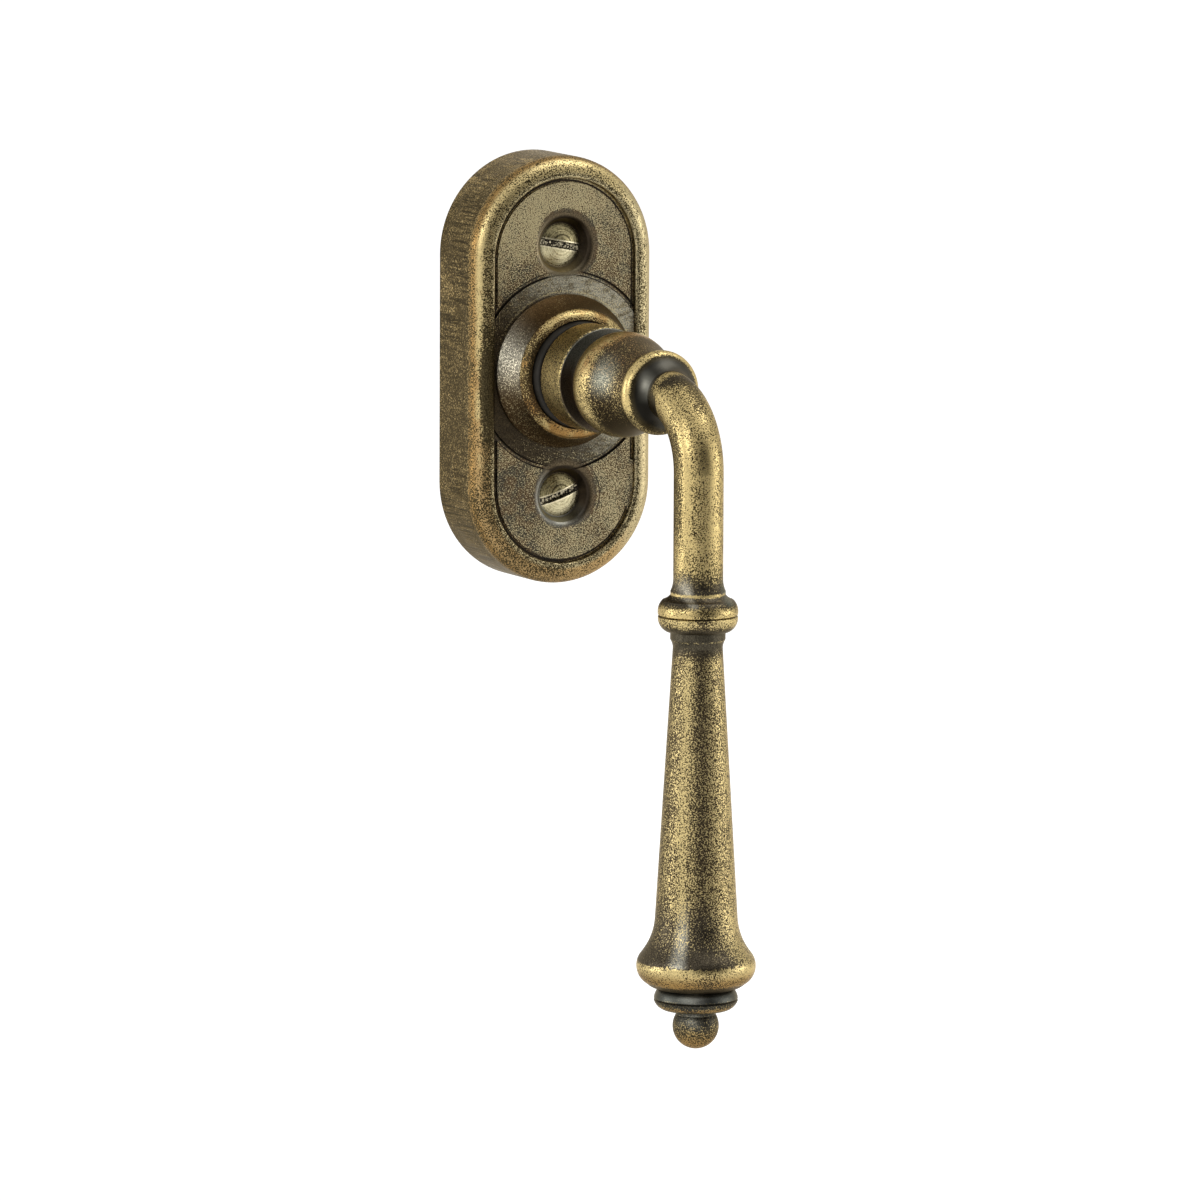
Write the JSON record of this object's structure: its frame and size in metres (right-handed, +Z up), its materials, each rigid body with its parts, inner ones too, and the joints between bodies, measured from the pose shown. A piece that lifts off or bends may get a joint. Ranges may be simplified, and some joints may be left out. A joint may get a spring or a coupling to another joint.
{
  "type": "window handle",
  "caption": "Antique brass lever handle with an oval screwed rosette and a square spindle, for opening and tilting a window.",
  "frame": {"origin": "on the spindle's axis, on the plane of the rosette's back rim that lies against the window", "axes": "+Z up with the grip hanging down, +Y into the window along the spindle, +X to the right of someone who faces the window"},
  "size_m": [0.0344, 0.0956, 0.1465],
  "materials": {
    "rosette_brass": "aged, dark olive-brown patina with bright rubbed edges",
    "lever_brass": "aged, speckled patina with bright rubbed edges",
    "grip_brass": "aged, fine speckled patina",
    "dark_brass": "nearly black patina",
    "finial_brass": "aged, dark speckled patina",
    "screw_brass": "satin, with turning marks",
    "bush_polymer": "matt black",
    "polyamide": "matt black moulding",
    "zinc_steel": "zinc plated",
    "spring_steel": "plain"
  },
  "bodies": {
    "base": {"rosette": "rosette_brass", "base_plate": "zinc_steel", "plate_screws": "zinc_steel", "locating_lugs": "polyamide", "movement_housing": "polyamide", "left_leaf_spring": "spring_steel", "right_leaf_spring": "spring_steel", "neck_bush": "bush_polymer", "thrust_washer": "bush_polymer", "fixing_screws": "screw_brass"},
    "handle": {"lever": "lever_brass", "grip": "grip_brass", "end_collar": "dark_brass", "finial": "finial_brass", "tie_rod": "zinc_steel", "spindle": "zinc_steel", "spindle_pin": "spring_steel", "index_cam": "spring_steel", "retaining_ring": "spring_steel", "spring_washer": "spring_steel"}
  },
  "joints": [
    {"name": "handle_turn", "type": "hinge", "parent": "base", "child": "handle", "pos_m": [0, 0, 0], "axis": [0, 1, 0], "range_deg": [-180, 180], "deforming": ["left_leaf_spring", "right_leaf_spring"]}
  ]
}
